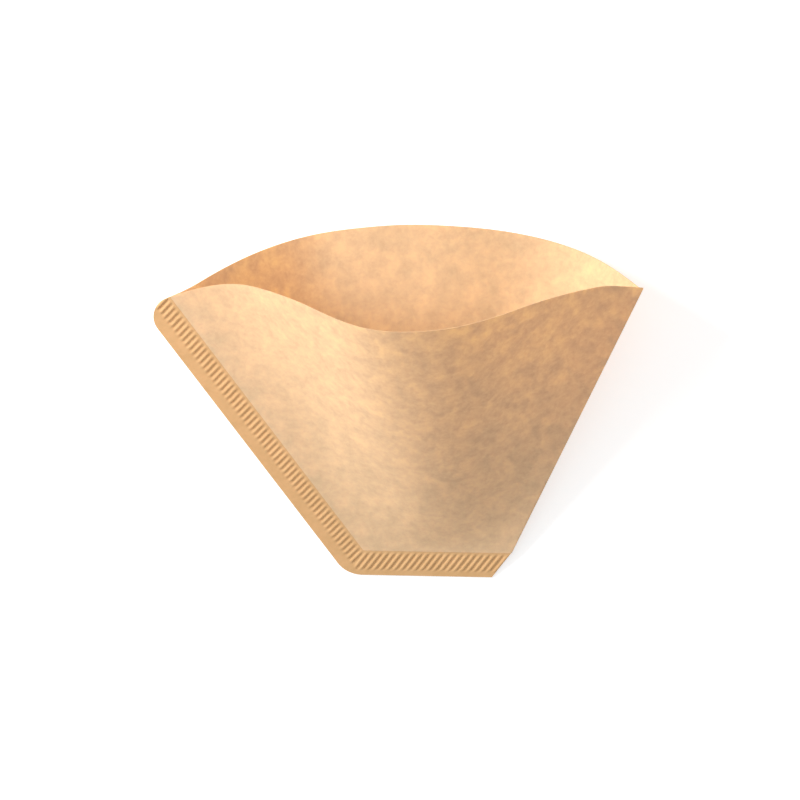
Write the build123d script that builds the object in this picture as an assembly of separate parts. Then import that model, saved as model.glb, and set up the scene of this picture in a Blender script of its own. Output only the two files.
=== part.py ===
from build123d import *
import math
import os

os.makedirs("parts", exist_ok=True)

# Paper coffee filter: one sheet folded along its right side, crimped along its left side and
# its bottom, then opened so that both walls stand away from the flat seams.
# It is built with X along the bottom seam, Y from the bottom towards the mouth and Z square
# to the flat seams, the front wall towards +Z. At the end it is laid on its rear wall.

# folded flat blank (mm, degrees)
bottom_width = 45.6
slant_length = 110.0
slant_angle = 33.2
top_arc_rise = 20.0
paper = 0.2
top_corner_radius = 5.0
bottom_corner_radius = 9.0

# seams: whole width from the edge, and the plain margin outside the crimp
left_seam_width = 9.4
left_margin = 3.7
bottom_seam_width = 9.0
bottom_margin = 2.0
inner_margin = 0.8
seam_overlap = 1.0
band_lap = 0.3

# crimp: pitch along the seam, lean of the ribs from square, height from valley to crest
left_pitch = 1.8
left_lean = 15.5
bottom_pitch = 2.1
bottom_lean = -33.5
crimp_height = 0.22
rib_places = (0.0, 0.3, 0.5, 0.8)

# opened walls: wall angles at the mouth in degrees, places as shares of the mouth's length
seam_angle = 5.0
front_rise = 41.0
front_bend = (0.20, 0.31, 0.64)
front_middle = -18.0
front_fall = (0.56, 0.76)
front_nip = 14.0
rear_rise = 43.0
rear_bend = (0.07, 0.14, 0.42)
rear_middle = 0.0
rear_fall = (0.65, 0.95)
rear_nip = 0.0
nip_place = (0.90, 0.95)
fold_swing = 0.3

# the walls curl out of the bottom seam over this length, then run straight to the mouth
curl_length = 4.0
curl_share = 0.85
curl_levels = (0, 0.25, 0.6, 1.1, 1.8, 3.0, 5.0)
seam_gap = 0.15

# joins inside the sheet
layer_gap = 0.02
fold_lap = 0.1
fold_core = 0.15

# how finely the curves are drawn
mouth_steps = 120
wall_points = 30
spare = 12.0

tangent = math.tan(math.radians(slant_angle))
cosine = math.cos(math.radians(slant_angle))
height = slant_length * cosine
half_spread = height * tangent
far = height + top_arc_rise + spare


def smooth(x):
    """Soft step from 0 to 1."""
    x = min(1.0, max(0.0, x))
    return x * x * (3 - 2 * x)


def top_edge(x):
    """Height of the flat blank's curved top edge at x."""
    middle = bottom_width / 2
    return height + top_arc_rise * (1 - ((x - middle) / (middle + half_spread)) ** 2)


def edge_point(inwards, y):
    """Point at height y, a given distance in from the blank's left edge."""
    return (inwards / cosine - y * tangent, y)


def seam_x(y):
    """Where the walls leave the left seam at height y."""
    return edge_point(left_seam_width, y)[0]


def flat_mouth():
    """Top edge of the flat blank from the left seam to the fold, each point with its foot."""
    first = seam_x(height)
    for _ in range(20):
        first = seam_x(top_edge(first))
    last = bottom_width + half_spread
    foot_first = seam_x(bottom_seam_width)
    foot_last = bottom_width + bottom_seam_width * tangent
    points = []
    for i in range(mouth_steps + 1):
        share = i / mouth_steps
        x = first + (last - first) * share
        foot = foot_first + (foot_last - foot_first) * share
        points.append((x, top_edge(x), foot))
    return points


blank = flat_mouth()


def rim_path(rise, bend, middle, fall, nip, end_angle):
    """Mouth edge of one opened wall as (x, y, depth), with the flat blank's lengths kept."""
    x, y = blank[0][:2]
    depth = 0.0
    path = [(x, y, depth)]
    for i in range(1, mouth_steps + 1):
        share = (i - 0.5) / mouth_steps
        angle = seam_angle + (rise - seam_angle) * smooth(share / bend[0])
        angle += (middle - rise) * smooth((share - bend[1]) / (bend[2] - bend[1]))
        angle -= (end_angle + middle) * smooth((share - fall[0]) / (fall[1] - fall[0]))
        angle += nip * smooth((share - nip_place[0]) / (nip_place[1] - nip_place[0]))
        flat_x, flat_y, foot = blank[i]
        step = math.dist((flat_x, flat_y), blank[i - 1][:2])
        length = math.dist((flat_x, flat_y), (foot, bottom_seam_width))
        climb = 0.0
        for _ in range(3):
            plan = math.sqrt(max(step ** 2 - climb ** 2, 0.0))
            next_x = x + plan * math.cos(math.radians(angle))
            next_depth = depth + plan * math.sin(math.radians(angle))
            reach = length ** 2 - next_depth ** 2 - (next_x - foot) ** 2
            climb = bottom_seam_width + math.sqrt(reach) - y
        x, y, depth = next_x, y + climb, next_depth
        path.append((x, y, depth))
    return path


def solved_rim(rise, bend, middle, fall, nip, end_depth):
    """Find the angle near the fold that brings the wall back to the fold line."""
    low, high = 0.0, 85.0
    for _ in range(40):
        angle = (low + high) / 2
        path = rim_path(rise, bend, middle, fall, nip, angle)
        if path[-1][2] > end_depth:
            low = angle
        else:
            high = angle
    return path


front_rim = solved_rim(front_rise, front_bend, front_middle, front_fall, front_nip, fold_swing)
rear_rim = solved_rim(rear_rise, rear_bend, rear_middle, rear_fall, rear_nip, -fold_swing)
tip_x = (front_rim[-1][0] + rear_rim[-1][0]) / 2
tip_y = (front_rim[-1][1] + rear_rim[-1][1]) / 2


def fold_x(y):
    """The fold line at height y once the mouth is open."""
    foot = bottom_width + bottom_seam_width * tangent
    return foot + (tip_x - foot) * (y - bottom_seam_width) / (tip_y - bottom_seam_width)


def depth_scale(y):
    """How far the walls stand out at height y: a curl at the bottom seam, then straight."""
    rise = y - bottom_seam_width
    return seam_gap + rise - curl_share * curl_length * (1 - math.exp(-rise / curl_length))


def section_curve(rim, side, y, grow):
    """One wall at height y as points from seam to fold, moved outwards by grow."""
    last_x, last_y, _ = rim[-1]
    whole = (last_x - seam_x(last_y)) / (fold_x(last_y) - seam_x(last_y))
    places = []
    for k in range(wall_points + 1):
        x, rim_y, depth = rim[round(k * mouth_steps / wall_points)]
        across = (x - seam_x(rim_y)) / (fold_x(rim_y) - seam_x(rim_y)) / whole
        here = seam_x(y) + across * (fold_x(y) - seam_x(y))
        places.append((here, depth * depth_scale(y) / depth_scale(rim_y)))
    points = []
    for k, (x, depth) in enumerate(places):
        before = places[max(k - 1, 0)]
        after = places[min(k + 1, wall_points)]
        run = math.dist(before, after)
        tx, tz = (after[0] - before[0]) / run, (after[1] - before[1]) / run
        points.append(Vector(x - grow * tz, y, side * (depth + grow * tx)))
    points.append(points[-1] + Vector(tx, 0, side * tz) * fold_lap)
    return points


def wall_section(rim, side, y):
    """Outline of one wall's paper at height y."""
    inner = section_curve(rim, side, y, layer_gap)
    outer = section_curve(rim, side, y, layer_gap + paper)
    edges = [
        Edge.make_spline(inner),
        Edge.make_line(inner[-1], outer[-1]),
        Edge.make_spline(outer[::-1]),
        Edge.make_line(outer[0], inner[0]),
    ]
    return Wire(edges)


def mouth_cutter(rim, side):
    """Everything past one wall's mouth edge."""
    near = -side * spare / 4
    points = [Vector(x, y, near) for x, y, _ in rim[:: mouth_steps // wall_points]]
    before = points[0] - Vector(3 * spare, spare, 0)
    after = points[-1] + Vector(3 * spare, -spare, 0)
    corner_after = Vector(after.X, far + spare, near)
    corner_before = Vector(before.X, far + spare, near)
    edges = [
        Edge.make_line(before, points[0]),
        Edge.make_spline(points),
        Edge.make_line(points[-1], after),
        Edge.make_line(after, corner_after),
        Edge.make_line(corner_after, corner_before),
        Edge.make_line(corner_before, before),
    ]
    return Solid.extrude(Face(Wire(edges)), Vector(0, 0, side * slant_length))


def wall_body(rim, side):
    """One wall: a sheet drawn through its sections and cut off along its mouth edge."""
    levels = [bottom_seam_width + curl_length * share for share in curl_levels] + [far]
    sheet = Solid.make_loft([wall_section(rim, side, y) for y in levels], ruled=True)
    return sheet - mouth_cutter(rim, side)


def fold_body():
    """Inside of the fold, where the paper turns round from one wall to the other."""
    foot = Vector(fold_x(bottom_seam_width), bottom_seam_width, 0)
    along = Vector(tip_x, tip_y, fold_swing) - foot
    return Solid.make_cylinder(fold_core, along.length, Plane(foot, z_dir=along))


def blank_face():
    """The folded blank: straight sides, curved top edge, rounded corners on the seam side."""
    left_top = (-half_spread, height)
    right_top = (bottom_width + half_spread, height)
    crown = (bottom_width / 2, height + top_arc_rise)
    outline = [
        Line((0, 0), (bottom_width, 0)),
        Line((bottom_width, 0), right_top),
        ThreePointArc(right_top, crown, left_top),
        Line(left_top, (0, 0)),
    ]
    face = make_face(outline)
    face = fillet(face.vertices().sort_by(Axis.X)[0], top_corner_radius)
    low_left = face.vertices().sort_by(Axis.Y)[:2].sort_by(Axis.X)[0]
    return fillet(low_left, bottom_corner_radius)


def inside_face(from_left, from_bottom):
    """All of the plane that lies further in than these distances from the two seam edges."""
    reach = 2 * slant_length
    outline = Polyline(
        edge_point(from_left, from_bottom),
        edge_point(from_left, far),
        (reach, far),
        (reach, from_bottom),
        close=True,
    )
    return make_face(outline)


def seam_face(outer, inner):
    """Part of the blank between two pairs of distances from its left and bottom edges."""
    return (blank_face() & inside_face(*outer)) - inside_face(*inner)


def crimp_wave(start, along, length, pitch, lean, width):
    """Both layers pressed into ribs: a wave along the seam, drawn out across it."""
    crest = []
    for k in range(int(length / pitch) + 2):
        for place, level in zip(rib_places, (-1, -1, 1, 1)):
            crest.append(((k + place) * pitch, level * crimp_height / 2))
    upper = [(x, z + paper) for x, z in crest]
    lower = [(x, z - paper) for x, z in reversed(crest)]
    across = Vector(along.Y, -along.X, 0)
    plane = Plane(start, x_dir=along, z_dir=across)
    wave = plane * make_face(Polyline(*upper, *lower, close=True))
    drawn = across + along * math.tan(math.radians(lean))
    return extrude(wave, amount=width * drawn.length, dir=drawn)


def crimp_bands():
    """The ribbed bands of the two seams, which meet on a mitre at the corner."""
    outer = (left_margin - band_lap, bottom_margin - band_lap)
    inner = (
        left_seam_width - inner_margin + band_lap,
        bottom_seam_width - inner_margin + band_lap,
    )
    band = seam_face(outer, inner)
    corner = Vector(*edge_point(left_seam_width, bottom_seam_width))
    below = make_face(
        Polyline(
            corner * -1,
            corner * 3,
            (2 * slant_length, corner.Y * 3),
            (2 * slant_length, -corner.Y),
            close=True,
        )
    )
    up_left = Vector(-tangent, 1, 0).normalized()
    left = crimp_wave(
        up_left * -spare,
        up_left,
        slant_length + 2 * spare,
        left_pitch,
        left_lean,
        left_seam_width,
    )
    bottom = crimp_wave(
        Vector(-2 * spare, bottom_seam_width, 0),
        Vector(1, 0, 0),
        bottom_width + 4 * spare,
        bottom_pitch,
        bottom_lean,
        bottom_seam_width,
    )
    left = left & extrude(band - below, crimp_height + paper, both=True)
    bottom = bottom & extrude(band & below, crimp_height + paper, both=True)
    return left, bottom


def seam_flange():
    """The joined layers: plain margin outside, ribbed band, plain inner edge."""
    margin = blank_face() - inside_face(left_margin, bottom_margin)
    inner_edge = seam_face(
        (left_seam_width - inner_margin, bottom_seam_width - inner_margin),
        (left_seam_width + seam_overlap, bottom_seam_width + seam_overlap),
    )
    left, bottom = crimp_bands()
    flange = extrude(margin, paper, both=True) + left
    flange += bottom
    flange += extrude(inner_edge, paper, both=True)
    return flange


def laid_down(bag):
    """Turn the bag until it lies on its bottom edge and the rear wall's lowest point."""
    lean = max(math.atan2(depth + layer_gap, y) for _, y, depth in rear_rim)
    bag = Rot(X=math.degrees(lean)) * bag
    box = bag.bounding_box()
    return Pos(-box.center().X, -box.center().Y, -box.min.Z) * bag


bag = seam_flange() + wall_body(front_rim, 1)
bag += fold_body()
bag += wall_body(rear_rim, -1)
bag = laid_down(bag)
bag.label = "filter_paper"
export_step(bag, "parts/filter_paper.step")
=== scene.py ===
import bpy
import math
from mathutils import Matrix, Vector


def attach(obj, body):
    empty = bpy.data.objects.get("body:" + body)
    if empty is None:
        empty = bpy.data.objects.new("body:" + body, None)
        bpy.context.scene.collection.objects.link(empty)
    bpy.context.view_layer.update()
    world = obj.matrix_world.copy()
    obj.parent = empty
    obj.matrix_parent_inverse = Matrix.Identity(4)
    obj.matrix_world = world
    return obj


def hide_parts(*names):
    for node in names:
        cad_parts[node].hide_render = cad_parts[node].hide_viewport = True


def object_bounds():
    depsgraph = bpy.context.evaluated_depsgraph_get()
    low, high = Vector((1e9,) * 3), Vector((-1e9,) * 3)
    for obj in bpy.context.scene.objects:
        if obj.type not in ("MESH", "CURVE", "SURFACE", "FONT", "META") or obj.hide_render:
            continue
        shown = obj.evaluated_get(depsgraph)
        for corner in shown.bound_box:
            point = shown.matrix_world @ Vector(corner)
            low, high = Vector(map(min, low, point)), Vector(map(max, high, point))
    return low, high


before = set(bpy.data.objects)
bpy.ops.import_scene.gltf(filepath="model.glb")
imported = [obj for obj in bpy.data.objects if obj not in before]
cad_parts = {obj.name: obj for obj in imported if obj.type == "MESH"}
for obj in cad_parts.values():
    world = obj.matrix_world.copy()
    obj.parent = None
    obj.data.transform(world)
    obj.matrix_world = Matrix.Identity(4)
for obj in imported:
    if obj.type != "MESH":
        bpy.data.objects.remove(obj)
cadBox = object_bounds()
print("frame loaded")

# The blank folded flat, in millimetres and degrees: the CAD part's sizes, but for a rounder
# top corner.
# Seam frame: x along the bottom seam, y up to the mouth, z square to the flat seams.
blank = {
    "bottomWidth": 45.6,
    "slantLength": 110.0,
    "slantAngle": 33.2,
    "archRise": 20.0,
    "paper": 0.2,
    "topCornerRadius": 7.0,
    "lowCornerRadius": 9.0,
    "leftSeam": 9.4,
    "leftMargin": 3.7,
    "bottomSeam": 9.0,
    "bottomMargin": 2.0,
    "innerMargin": 0.8,
}
crimp = {
    "leftPitch": 1.8,
    "leftLean": 15.5,
    "bottomPitch": 2.1,
    "bottomLean": -33.5,
    "height": 0.34,      # valley to crest, deeper than real ones so that the ribs show
    "flatness": 1.8,     # how far crests and valleys are flattened
    "fade": 0.55,        # ribs run out to the plain margins over this width
    "lap": 0.6,          # the seams run this far in under the walls
    "along": 0.26,       # mesh spacing along the seams
    "across": 18,        # mesh columns across the seams
}
opened = {
    "seamAngle": 5.0,
    "curl": 4.0,
    "curlShare": 0.85,
    "seamGap": 0.15,
    "layerGap": 0.02,
    "nipPlace": (0.90, 0.95),
    "wallColumns": 110,
    "wallRows": 96,
    "foldColumns": 5,
    "calm": (0.12, 0.10, 0.25),   # evenness near the seam, the fold and the bottom, as shares
    "rowCrowding": 1.35,     # closer rows in the curl at the bottom seam
    "sharpAngle": 55.0,      # cut edges turn by more than this
    "cockle": 0.16,          # soft unevenness of the paper
}
# Bearing of each wall's mouth edge, in degrees off the seam plane: it turns from the seam angle to
# rise, on to middle, and then to the angle that brings it back to the fold. As shares of the edge,
# bend is where the first turn ends and the second begins and ends, and fall the span of the last.
# nip turns it back a little just before the fold, which it meets at endDepth.
frontWall = {
    "rise": 41.0, "bend": (0.20, 0.31, 0.64), "middle": -18.0,
    "fall": (0.56, 0.76), "nip": 14.0, "endDepth": 0.3,
}
rearWall = {
    "rise": 43.0, "bend": (0.07, 0.14, 0.42), "middle": 0.0,
    "fall": (0.65, 0.95), "nip": 0.0, "endDepth": -0.3,
}

mm = 0.001
slant = math.radians(blank["slantAngle"])
tangent = math.tan(slant)
cosine = math.cos(slant)
sine = math.sin(slant)
height = blank["slantLength"] * cosine
halfSpread = height * tangent
seamY = blank["bottomSeam"]


def smooth(x):
    x = min(1.0, max(0.0, x))
    return x * x * (3 - 2 * x)


def mix(a, b, share):
    return a + (b - a) * share


def topEdge(x):
    middle = blank["bottomWidth"] / 2
    return height + blank["archRise"] * (1 - ((x - middle) / (middle + halfSpread)) ** 2)


def seamX(y):
    return blank["leftSeam"] / cosine - y * tangent


# Top edge of the flat blank from the left seam to the fold, each point with its foot.
def flatMouth(steps):
    first = seamX(height)
    for _ in range(20):
        first = seamX(topEdge(first))
    last = blank["bottomWidth"] + halfSpread
    footFirst = seamX(seamY)
    footLast = blank["bottomWidth"] + seamY * tangent
    points = []
    for i in range(steps + 1):
        x = mix(first, last, i / steps)
        points.append((x, topEdge(x), mix(footFirst, footLast, i / steps)))
    return points


# Mouth edge of one opened wall as (x, y, depth). Every step keeps the flat paper's length along
# the edge and down the wall; three rounds are enough to settle how far each step climbs.
def rimPath(wall, endAngle, flat):
    steps = len(flat) - 1
    x, y = flat[0][:2]
    depth = 0.0
    path = [(x, y, depth)]
    bend, fall, nip = wall["bend"], wall["fall"], opened["nipPlace"]
    for i in range(1, steps + 1):
        share = (i - 0.5) / steps
        angle = opened["seamAngle"]
        angle += (wall["rise"] - angle) * smooth(share / bend[0])
        angle += (wall["middle"] - wall["rise"]) * smooth((share - bend[1]) / (bend[2] - bend[1]))
        angle -= (endAngle + wall["middle"]) * smooth((share - fall[0]) / (fall[1] - fall[0]))
        angle += wall["nip"] * smooth((share - nip[0]) / (nip[1] - nip[0]))
        flatX, flatY, foot = flat[i]
        step = math.dist((flatX, flatY), flat[i - 1][:2])
        length = math.dist((flatX, flatY), (foot, seamY))
        climb = 0.0
        for _ in range(3):
            plan = math.sqrt(max(step ** 2 - climb ** 2, 0.0))
            nextX = x + plan * math.cos(math.radians(angle))
            nextDepth = depth + plan * math.sin(math.radians(angle))
            reach = length ** 2 - nextDepth ** 2 - (nextX - foot) ** 2
            climb = seamY + math.sqrt(reach) - y
        x, y, depth = nextX, y + climb, nextDepth
        path.append((x, y, depth))
    return path


# Halving search for the angle near the fold that brings the wall back to the fold line.
def solvedRim(wall, flat):
    low, high = 0.0, 85.0
    for _ in range(40):
        angle = (low + high) / 2
        path = rimPath(wall, angle, flat)
        if path[-1][2] > wall["endDepth"]:
            low = angle
        else:
            high = angle
    return path


flat = flatMouth(opened["wallColumns"])
frontRim = solvedRim(frontWall, flat)
rearRim = solvedRim(rearWall, flat)
tipX = (frontRim[-1][0] + rearRim[-1][0]) / 2
tipY = (frontRim[-1][1] + rearRim[-1][1]) / 2
print("mouth shaped")


def foldX(y):
    foot = blank["bottomWidth"] + seamY * tangent
    return foot + (tipX - foot) * (y - seamY) / (tipY - seamY)


# How far apart the walls stand at height y: nearly flat at the bottom seam, then straight.
def depthScale(y):
    rise = y - seamY
    curl = opened["curl"]
    return opened["seamGap"] + rise - opened["curlShare"] * curl * (1 - math.exp(-rise / curl))


# Slow unevenness of a sheet that has been folded, opened and handled: crossing waves about
# 30 to 65 mm long.
def cockle(x, y, side):
    a = math.sin(0.083 * x + 0.047 * y + 1.3 * side)
    b = math.sin(0.052 * y - 0.121 * x + 2.1)
    c = math.sin(0.19 * x + 0.11 * y + 0.7 * side) * math.sin(0.14 * y - 0.06 * x)
    return opened["cockle"] * (a * b + 0.6 * c)


# One wall's section at one level: points from the seam to the fold, moved outwards by grow.
def sectionPoints(rim, side, rise, grow):
    lastX, lastY = rim[-1][:2]
    whole = (lastX - seamX(lastY)) / (foldX(lastY) - seamX(lastY))
    nearSeam, nearFold, nearLow = opened["calm"]
    middle = []
    for x, rimY, depth in rim:
        y = mix(seamY, rimY, rise)
        across = (x - seamX(rimY)) / (foldX(rimY) - seamX(rimY)) / whole
        here = mix(seamX(y), foldX(y), across)
        out = depth * depthScale(y) / depthScale(rimY)
        calm = smooth(across / nearSeam) * smooth((1 - across) / nearFold) * smooth(rise / nearLow)
        middle.append((here, y, out + cockle(here, y, side) * calm))
    points = []
    for k, (x, y, out) in enumerate(middle):
        before = middle[max(k - 1, 0)]
        after = middle[min(k + 1, len(middle) - 1)]
        dx, dz = after[0] - before[0], after[2] - before[2]
        run = math.hypot(dx, dz)
        points.append((x - grow * dz / run, y, side * (out + grow * dx / run)))
    return points


# Both walls in one strip: front wall from the seam to the fold, round it, and back.
def wrapRow(rise, grow):
    front = sectionPoints(frontRim, 1, rise, grow)
    rear = sectionPoints(rearRim, -1, rise, grow)
    a = Vector(front[-1])
    b = Vector(rear[-1])
    inside = (Vector(sectionPoints(frontRim, 1, rise, 0)[-1])
              + Vector(sectionPoints(rearRim, -1, rise, 0)[-1])) / 2
    turn = []
    count = opened["foldColumns"]
    for k in range(1, count + 1):
        share = k / (count + 1)
        way = (a - inside).lerp(b - inside, share)
        way = way.normalized() if way.length > 1e-6 else Vector((1, 0, 0))
        turn.append(tuple(inside + way * grow))
    return front + turn + rear[::-1]


# Closed thin shell from two grids of points, one for each face of the paper.
def shellFaces(rows, columns, first):
    count = rows * columns
    faces = []
    for r in range(rows - 1):
        for c in range(columns - 1):
            a = first + r * columns + c
            quad = (a, a + 1, a + columns + 1, a + columns)
            faces.append(quad)
            faces.append(tuple(v + count for v in reversed(quad)))
    rim = [first + c for c in range(columns)]
    rim += [first + r * columns + columns - 1 for r in range(1, rows)]
    rim += [first + (rows - 1) * columns + c for c in range(columns - 2, -1, -1)]
    rim += [first + r * columns for r in range(rows - 2, 0, -1)]
    for k, a in enumerate(rim):
        b = rim[(k + 1) % len(rim)]
        faces.append((b, a, a + count, b + count))
    return faces


def wallShell():
    rows = opened["wallRows"]
    inner, outer = [], []
    for r in range(rows):
        rise = (r / (rows - 1)) ** opened["rowCrowding"]
        inner += wrapRow(rise, opened["layerGap"])
        outer += wrapRow(rise, opened["layerGap"] + blank["paper"])
    return outer + inner, rows, len(inner) // rows


# Rib profile: rounded crests and valleys, flat enough to catch the light as bands.
def ribWave(phase):
    flatness = crimp["flatness"]
    return math.tanh(flatness * math.sin(2 * math.pi * phase)) / math.tanh(flatness)


def flangeHeight(x, y):
    fromLeft = (x + y * tangent) * cosine
    fromBottom = y
    corner = (seamX(seamY), seamY)
    onBottom = x * corner[1] - y * corner[0] > 0     # which side of the corner's mitre
    alongLeft = y * cosine - x * sine
    if onBottom:
        lean = math.tan(math.radians(crimp["bottomLean"]))
        phase = (x + (y - seamY) * lean) / crimp["bottomPitch"]
    else:
        lean = math.tan(math.radians(crimp["leftLean"]))
        phase = (alongLeft - fromLeft * lean) / crimp["leftPitch"]
    soft = crimp["fade"]
    leftIn = smooth((fromLeft - blank["leftMargin"]) / soft)
    lowIn = smooth((fromBottom - blank["bottomMargin"]) / soft)
    leftOut = smooth((blank["leftSeam"] - blank["innerMargin"] - fromLeft) / soft)
    lowOut = smooth((seamY - blank["innerMargin"] - fromBottom) / soft)
    mask = leftIn * lowIn * max(leftOut, lowOut)
    return ribWave(phase) * crimp["height"] / 2 * mask


def arcPoints(center, radius, start, end, step):
    count = max(3, int(abs(end - start) * radius / step))
    return [
        (center[0] + radius * math.cos(mix(start, end, k / count)),
         center[1] + radius * math.sin(mix(start, end, k / count)))
        for k in range(count + 1)
    ]


def linePoints(a, b, step):
    count = max(1, int(math.dist(a, b) / step))
    return [(mix(a[0], b[0], k / count), mix(a[1], b[1], k / count)) for k in range(count)]


# Outer edge of the seams: along the top edge to the rounded corner, down and round to the right.
def outerEdge(step):
    radius = blank["topCornerRadius"]
    # centre of the top corner: radius in from the left edge and radius below the top edge
    cx, cy = -halfSpread + radius, height - radius
    for _ in range(30):
        cx = radius / cosine - cy * tangent
        slope = -2 * blank["archRise"] * (cx - blank["bottomWidth"] / 2)
        slope /= (blank["bottomWidth"] / 2 + halfSpread) ** 2
        cy = topEdge(cx) - radius * math.sqrt(1 + slope ** 2)
    upAngle = math.pi / 2 + math.atan(slope)
    first = (flat[0][0], flat[0][1])
    touch = (cx + radius * math.cos(upAngle), cy + radius * math.sin(upAngle))
    top = linePoints(first, touch, step)
    bow = 0.3               # the chord is lifted by up to this towards the arched edge
    top = [(x, min(topEdge(x), y + bow)) for x, y in top]
    path = top + arcPoints((cx, cy), radius, upAngle, math.pi + slant, step)
    low = blank["lowCornerRadius"]
    lowCenter = (low / cosine - low * tangent, low)
    path += linePoints(path[-1], (lowCenter[0] - low * cosine, low - low * sine), step)
    path += arcPoints(lowCenter, low, math.pi + slant, 1.5 * math.pi, step)
    path += linePoints(path[-1], (blank["bottomWidth"], 0), step)
    path.append((blank["bottomWidth"], 0))
    return path


# Inner edge of the seams, with as many points as the outer one.
def innerEdge(outer):
    topInset = 2.0          # stops this far below the mouth edge
    footShift = 0.92        # sets inner points a little below square to the outer ones
    inLeft = blank["leftSeam"] + crimp["lap"]
    inLow = seamY + crimp["lap"]
    corner = (inLeft / cosine - inLow * tangent, inLow)
    right = (blank["bottomWidth"] + inLow * tangent, inLow)
    topY = topEdge(inLeft / cosine - height * tangent) - topInset
    points = []
    for x, y in outer:
        onBottom = x * corner[1] - y * corner[0] > 0
        if onBottom:
            share = x / blank["bottomWidth"]
            points.append((max(corner[0], mix(corner[0], right[0], max(0.0, share))), inLow))
        else:
            up = (y * cosine - x * sine) * cosine
            up += inLeft * sine * footShift
            up = min(max(up, inLow), topY)
            points.append((inLeft / cosine - up * tangent, up))
    return points


def flangeShell():
    outer = outerEdge(crimp["along"])
    inner = innerEdge(outer)
    columns = crimp["across"] + 1
    upper, lower = [], []
    for a, b in zip(outer, inner):
        for c in range(columns):
            x, y = mix(a[0], b[0], c / crimp["across"]), mix(a[1], b[1], c / crimp["across"])
            wave = flangeHeight(x, y)
            upper.append((x, y, wave + blank["paper"]))
            lower.append((x, y, wave - blank["paper"]))
    return upper + lower, len(outer), columns


# From the seam frame to the row: lean back onto the rear wall, then onto the CAD box.
def rowMatrix():
    lean = max(math.atan2(depth + opened["layerGap"], y) for _, y, depth in rearRim)
    turn = Matrix.Rotation(lean, 4, "X")
    low, high = cadBox
    leaned = [turn @ Vector(p) for p in wallPoints + flangePoints]
    least = [min(p[k] for p in leaned) for k in range(3)]
    most = [max(p[k] for p in leaned) for k in range(3)]
    shift = Vector((
        (low[0] + high[0]) / 2 / mm - (least[0] + most[0]) / 2,
        (low[1] + high[1]) / 2 / mm - (least[1] + most[1]) / 2,
        low[2] / mm - least[2],
    ))
    return Matrix.Scale(mm, 4) @ Matrix.Translation(shift) @ turn


wallPoints, wallRows, wallColumns = wallShell()
flangePoints, flangeRows, flangeColumns = flangeShell()
toRow = rowMatrix()
print("points:", len(wallPoints), "in the walls,", len(flangePoints), "in the seams")


def buildFilter():
    faces = shellFaces(wallRows, wallColumns, 0)
    wallFaceCount = len(faces)
    faces += shellFaces(flangeRows, flangeColumns, len(wallPoints))
    mesh = bpy.data.meshes.new("filterPaper")
    mesh.from_pydata([toRow @ Vector(p) for p in wallPoints + flangePoints], [], faces)
    mesh.update()
    mesh.polygons.foreach_set("use_smooth", [True] * len(mesh.polygons))
    mesh.polygons.foreach_set(
        "material_index", [0 if i < wallFaceCount else 1 for i in range(len(mesh.polygons))]
    )
    filterPaper = bpy.data.objects.new("filterPaper", mesh)
    bpy.context.scene.collection.objects.link(filterPaper)
    bpy.context.view_layer.objects.active = filterPaper
    filterPaper.select_set(True)
    bpy.ops.object.mode_set(mode="EDIT")
    bpy.ops.mesh.select_all(action="SELECT")
    bpy.ops.mesh.normals_make_consistent(inside=False)
    bpy.ops.object.mode_set(mode="OBJECT")
    mesh.set_sharp_from_angle(angle=math.radians(opened["sharpAngle"]))
    return filterPaper


filterPaper = buildFilter()
print("paper built")


def linear(hexColor):
    channels = [int(hexColor[i:i + 2], 16) / 255 for i in (0, 2, 4)]
    return [c / 12.92 if c <= 0.04045 else ((c + 0.055) / 1.055) ** 2.4 for c in channels] + [1.0]


# Adds one node: its settings, its unlinked inputs and the links into it.
def addNode(tree, kind, settings=None, inputs=None, links=None):
    node = tree.nodes.new(kind)
    for name, value in (settings or {}).items():
        setattr(node, name, value)
    for name, value in (inputs or {}).items():
        node.inputs[name].default_value = value
    for name, source in (links or {}).items():
        tree.links.new(source, node.inputs[name])
    return node


# A noise cell spans one thick place and one thin one.
def noiseScale(size):
    return 1 / (2 * size * mm)


# Unbleached creped filter paper: a matt felt of brown fibres. Light passes through it, so
# shaded places glow a deeper, cloudier brown where the fibres lie thick and thin.
creped = {
    "light": "FBE5BE",        # reflected colour where the felt is even
    "dark": "F2CF9A",         # reflected colour of the thicker clouds
    "glowLight": "FFD878",    # light that has come through thin places
    "glowDark": "CC9034",     # light that has come through thick places
    "through": 0.42,          # share of the light that passes through
    "roughness": 0.95,
    "cloudMm": 2.6,           # fibre clouds are 2 to 4 mm across
    "flockMm": 0.9,
    "crepeMm": 0.55,          # creping wrinkles, drawn about twice as coarse as real ones
    "creaseStretch": 0.35,    # wrinkles are drawn out along x
    "flockShare": 0.35,       # how much of the cloudiness is fine flocks
    "darkShare": 0.35,        # how far the reflected colour goes towards the dark one
    "fineRelief": 0.4,        # how much of the relief is fine flocks
    "bumpMm": 0.08,
}
# Two layers of the same paper pressed together: less see-through, and with painted shade, its
# reflected colours set darker to stand in for the light that shines through one layer from behind
# but not through two.
pressedWithPaintedShade = dict(
    creped, light="E8BE8A", dark="D9A76E", glowLight="E8AE6A", glowDark="B87A3C", through=0.22
)


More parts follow.
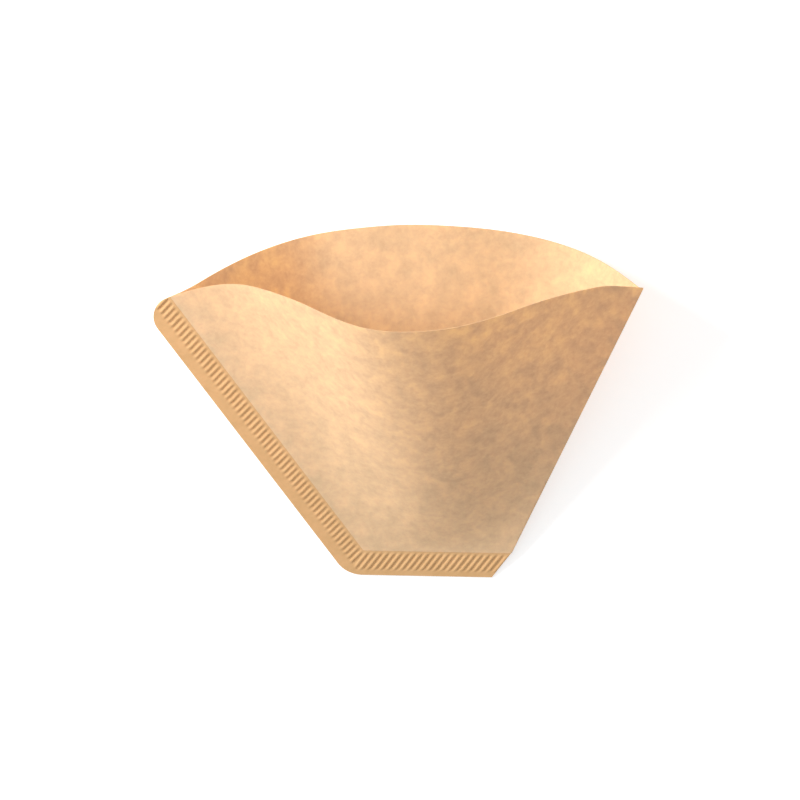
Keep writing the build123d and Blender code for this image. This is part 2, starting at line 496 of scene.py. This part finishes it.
def paperMaterial(name, look):
    material = bpy.data.materials.new(name)
    material.use_nodes = True
    tree = material.node_tree
    tree.nodes.clear()
    place = addNode(tree, "ShaderNodeTexCoord").outputs["Object"]
    clouds = addNode(
        tree, "ShaderNodeTexNoise",
        inputs={"Scale": noiseScale(look["cloudMm"]), "Detail": 4.0, "Roughness": 0.62,
                "Distortion": 0.3},
        links={"Vector": place},
    )
    flocks = addNode(
        tree, "ShaderNodeTexNoise",
        inputs={"Scale": noiseScale(look["flockMm"]), "Detail": 3.0, "Roughness": 0.6},
        links={"Vector": place},
    )
    both = addNode(
        tree, "ShaderNodeMix", {"data_type": "FLOAT"}, {0: look["flockShare"]},
        {2: clouds.outputs["Fac"], 3: flocks.outputs["Fac"]},
    )
    spread = addNode(
        tree, "ShaderNodeMapRange", inputs={"From Min": 0.36, "From Max": 0.64},
        links={"Value": both.outputs[0]},
    )
    seen = addNode(
        tree, "ShaderNodeMix", {"data_type": "RGBA"},
        {6: linear(look["light"]), 7: linear(look["dark"])},
        {0: addNode(
            tree, "ShaderNodeMath", {"operation": "MULTIPLY"}, {1: look["darkShare"]},
            {0: spread.outputs["Result"]}).outputs[0]},
    )
    glow = addNode(
        tree, "ShaderNodeMix", {"data_type": "RGBA"},
        {6: linear(look["glowLight"]), 7: linear(look["glowDark"])},
        {0: spread.outputs["Result"]},
    )
    stretched = addNode(
        tree, "ShaderNodeMapping", inputs={"Scale": (look["creaseStretch"], 1.0, 1.0)},
        links={"Vector": place},
    )
    crepe = addNode(
        tree, "ShaderNodeTexNoise",
        inputs={"Scale": noiseScale(look["crepeMm"]), "Detail": 2.0, "Roughness": 0.5},
        links={"Vector": stretched.outputs["Vector"]},
    )
    relief = addNode(
        tree, "ShaderNodeMix", {"data_type": "FLOAT"}, {0: look["fineRelief"]},
        {2: crepe.outputs["Fac"], 3: flocks.outputs["Fac"]},
    )
    bump = addNode(
        tree, "ShaderNodeBump", inputs={"Strength": 0.5, "Distance": look["bumpMm"] * mm},
        links={"Height": relief.outputs[0]},
    )
    body = addNode(
        tree, "ShaderNodeBsdfPrincipled",
        inputs={"Roughness": look["roughness"], "Specular IOR Level": 0.15},
        links={"Base Color": seen.outputs[2], "Normal": bump.outputs["Normal"]},
    )
    through = addNode(
        tree, "ShaderNodeBsdfTranslucent",
        links={"Color": glow.outputs[2], "Normal": bump.outputs["Normal"]},
    )
    sheet = addNode(
        tree, "ShaderNodeMixShader", inputs={0: look["through"]},
        links={1: body.outputs["BSDF"], 2: through.outputs["BSDF"]},
    )
    addNode(tree, "ShaderNodeOutputMaterial", links={"Surface": sheet.outputs["Shader"]})
    return material


filterPaper.data.materials.append(paperMaterial("unbleachedCrepedPaper", creped))
# the seams' material: a darker copy of the paper, painted shade for the light the double layer
# keeps back
filterPaper.data.materials.append(paperMaterial("crimpedDoublePaperPaintedShade", pressedWithPaintedShade))
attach(filterPaper, "root")
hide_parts("filter_paper")
print("paper finished")

studio = {
    "floorSize": 6.0,
    "floorDrop": 0.0002,       # the floor lies this far below the part
    "floorColor": "F2F2F2",
    "floorLift": 0.42,         # extra white of the floor, for seen rays only
    "worldStrength": 0.76,
    "keyPower": 7.4,
    "keySize": 0.34,
    "keyPlace": (-0.60, 0.28, 0.37),
    "fillPower": 0.6,
    "fillSize": 0.8,
    "fillPlace": (0.15, 0.6, 0.7),
}


# One for the rays that show a background: straight to the camera, mirrored or passed through.
def seenRay(tree):
    ray = addNode(tree, "ShaderNodeLightPath").outputs
    seen = addNode(
        tree, "ShaderNodeMath", {"operation": "MAXIMUM"},
        links={0: ray["Is Camera Ray"], 1: ray["Is Glossy Ray"]},
    )
    return addNode(
        tree, "ShaderNodeMath", {"operation": "MAXIMUM"},
        links={0: seen.outputs[0], 1: ray["Is Transmission Ray"]},
    ).outputs[0]


def buildFloor():
    half = studio["floorSize"] / 2
    mesh = bpy.data.meshes.new("floor")
    mesh.from_pydata(
        [(-half, -half, 0), (half, -half, 0), (half, half, 0), (-half, half, 0)], [], [(0, 1, 2, 3)]
    )
    floor = bpy.data.objects.new("floor", mesh)
    floor.location.z = cadBox[0][2] - studio["floorDrop"]
    bpy.context.scene.collection.objects.link(floor)
    material = bpy.data.materials.new("mattWhitePaint")
    material.use_nodes = True
    tree = material.node_tree
    tree.nodes.clear()
    paint = addNode(
        tree, "ShaderNodeBsdfDiffuse", inputs={"Color": linear(studio["floorColor"])}
    )
    lift = addNode(
        tree, "ShaderNodeMath", {"operation": "MULTIPLY"}, {1: studio["floorLift"]},
        {0: seenRay(tree)},
    )
    white = addNode(tree, "ShaderNodeEmission", links={"Strength": lift.outputs[0]})
    both = addNode(
        tree, "ShaderNodeAddShader", links={0: paint.outputs[0], 1: white.outputs[0]}
    )
    addNode(tree, "ShaderNodeOutputMaterial", links={"Surface": both.outputs[0]})
    mesh.materials.append(material)


def buildWorld():
    world = bpy.data.worlds.new("softRoom")
    bpy.context.scene.world = world
    world.use_nodes = True
    tree = world.node_tree
    tree.nodes.clear()
    strength = addNode(
        tree, "ShaderNodeMix", {"data_type": "FLOAT"}, {2: studio["worldStrength"], 3: 1.0},
        {0: seenRay(tree)},
    )
    room = addNode(tree, "ShaderNodeBackground", links={"Strength": strength.outputs[0]})
    addNode(tree, "ShaderNodeOutputWorld", links={"Surface": room.outputs[0]})


def addLamp(name, power, size, place):
    lamp = bpy.data.lights.new(name, "AREA")
    lamp.energy = power
    lamp.size = size
    holder = bpy.data.objects.new(name, lamp)
    holder.location = place
    aim = middlePoint - Vector(place)
    holder.rotation_euler = aim.to_track_quat("-Z", "Y").to_euler()
    bpy.context.scene.collection.objects.link(holder)


middlePoint = (Vector(cadBox[0]) + Vector(cadBox[1])) / 2
buildFloor()
buildWorld()
addLamp("key", studio["keyPower"], studio["keySize"], studio["keyPlace"])
addLamp("fill", studio["fillPower"], studio["fillSize"], studio["fillPlace"])
print("studio lit")

# The camera looks down on the front wall from the mouth's side, 28 degrees off square to the
# flat seams.
view = {
    "side": 1.966,            # degrees towards the fold
    "tilt": 61.7,             # degrees from the seam plane's up direction
    "roll": 0.066,
    "aim": (16.73, 62.46, 0.0),
    "distance": 784.5,
    "lens": 116.7,
}


def buildCamera():
    side, tilt, roll = (math.radians(view[k]) for k in ("side", "tilt", "roll"))
    toCamera = Vector((
        math.sin(side) * math.sin(tilt), math.cos(tilt), math.cos(side) * math.sin(tilt)
    )).normalized()
    right = Vector((0, 1, 0)).cross(toCamera).normalized()
    up = toCamera.cross(right)
    rolledRight = right * math.cos(roll) + up * math.sin(roll)
    rolledUp = up * math.cos(roll) - right * math.sin(roll)
    turn = toRow.to_3x3().normalized()
    axes = [turn @ v for v in (rolledRight, rolledUp, toCamera)]
    place = toRow @ (Vector(view["aim"]) + toCamera * view["distance"])
    camera = bpy.data.cameras.new("camera")
    camera.lens = view["lens"]
    camera.sensor_width = 36.0
    camera.clip_start = 0.01
    holder = bpy.data.objects.new("camera", camera)
    holder.matrix_world = Matrix.Translation(place) @ Matrix(axes).transposed().to_4x4()
    bpy.context.scene.collection.objects.link(holder)
    bpy.context.scene.camera = holder


buildCamera()
bpy.context.scene.view_settings.view_transform = "Standard"
bpy.context.scene.cycles.use_denoising = True
print("camera placed")
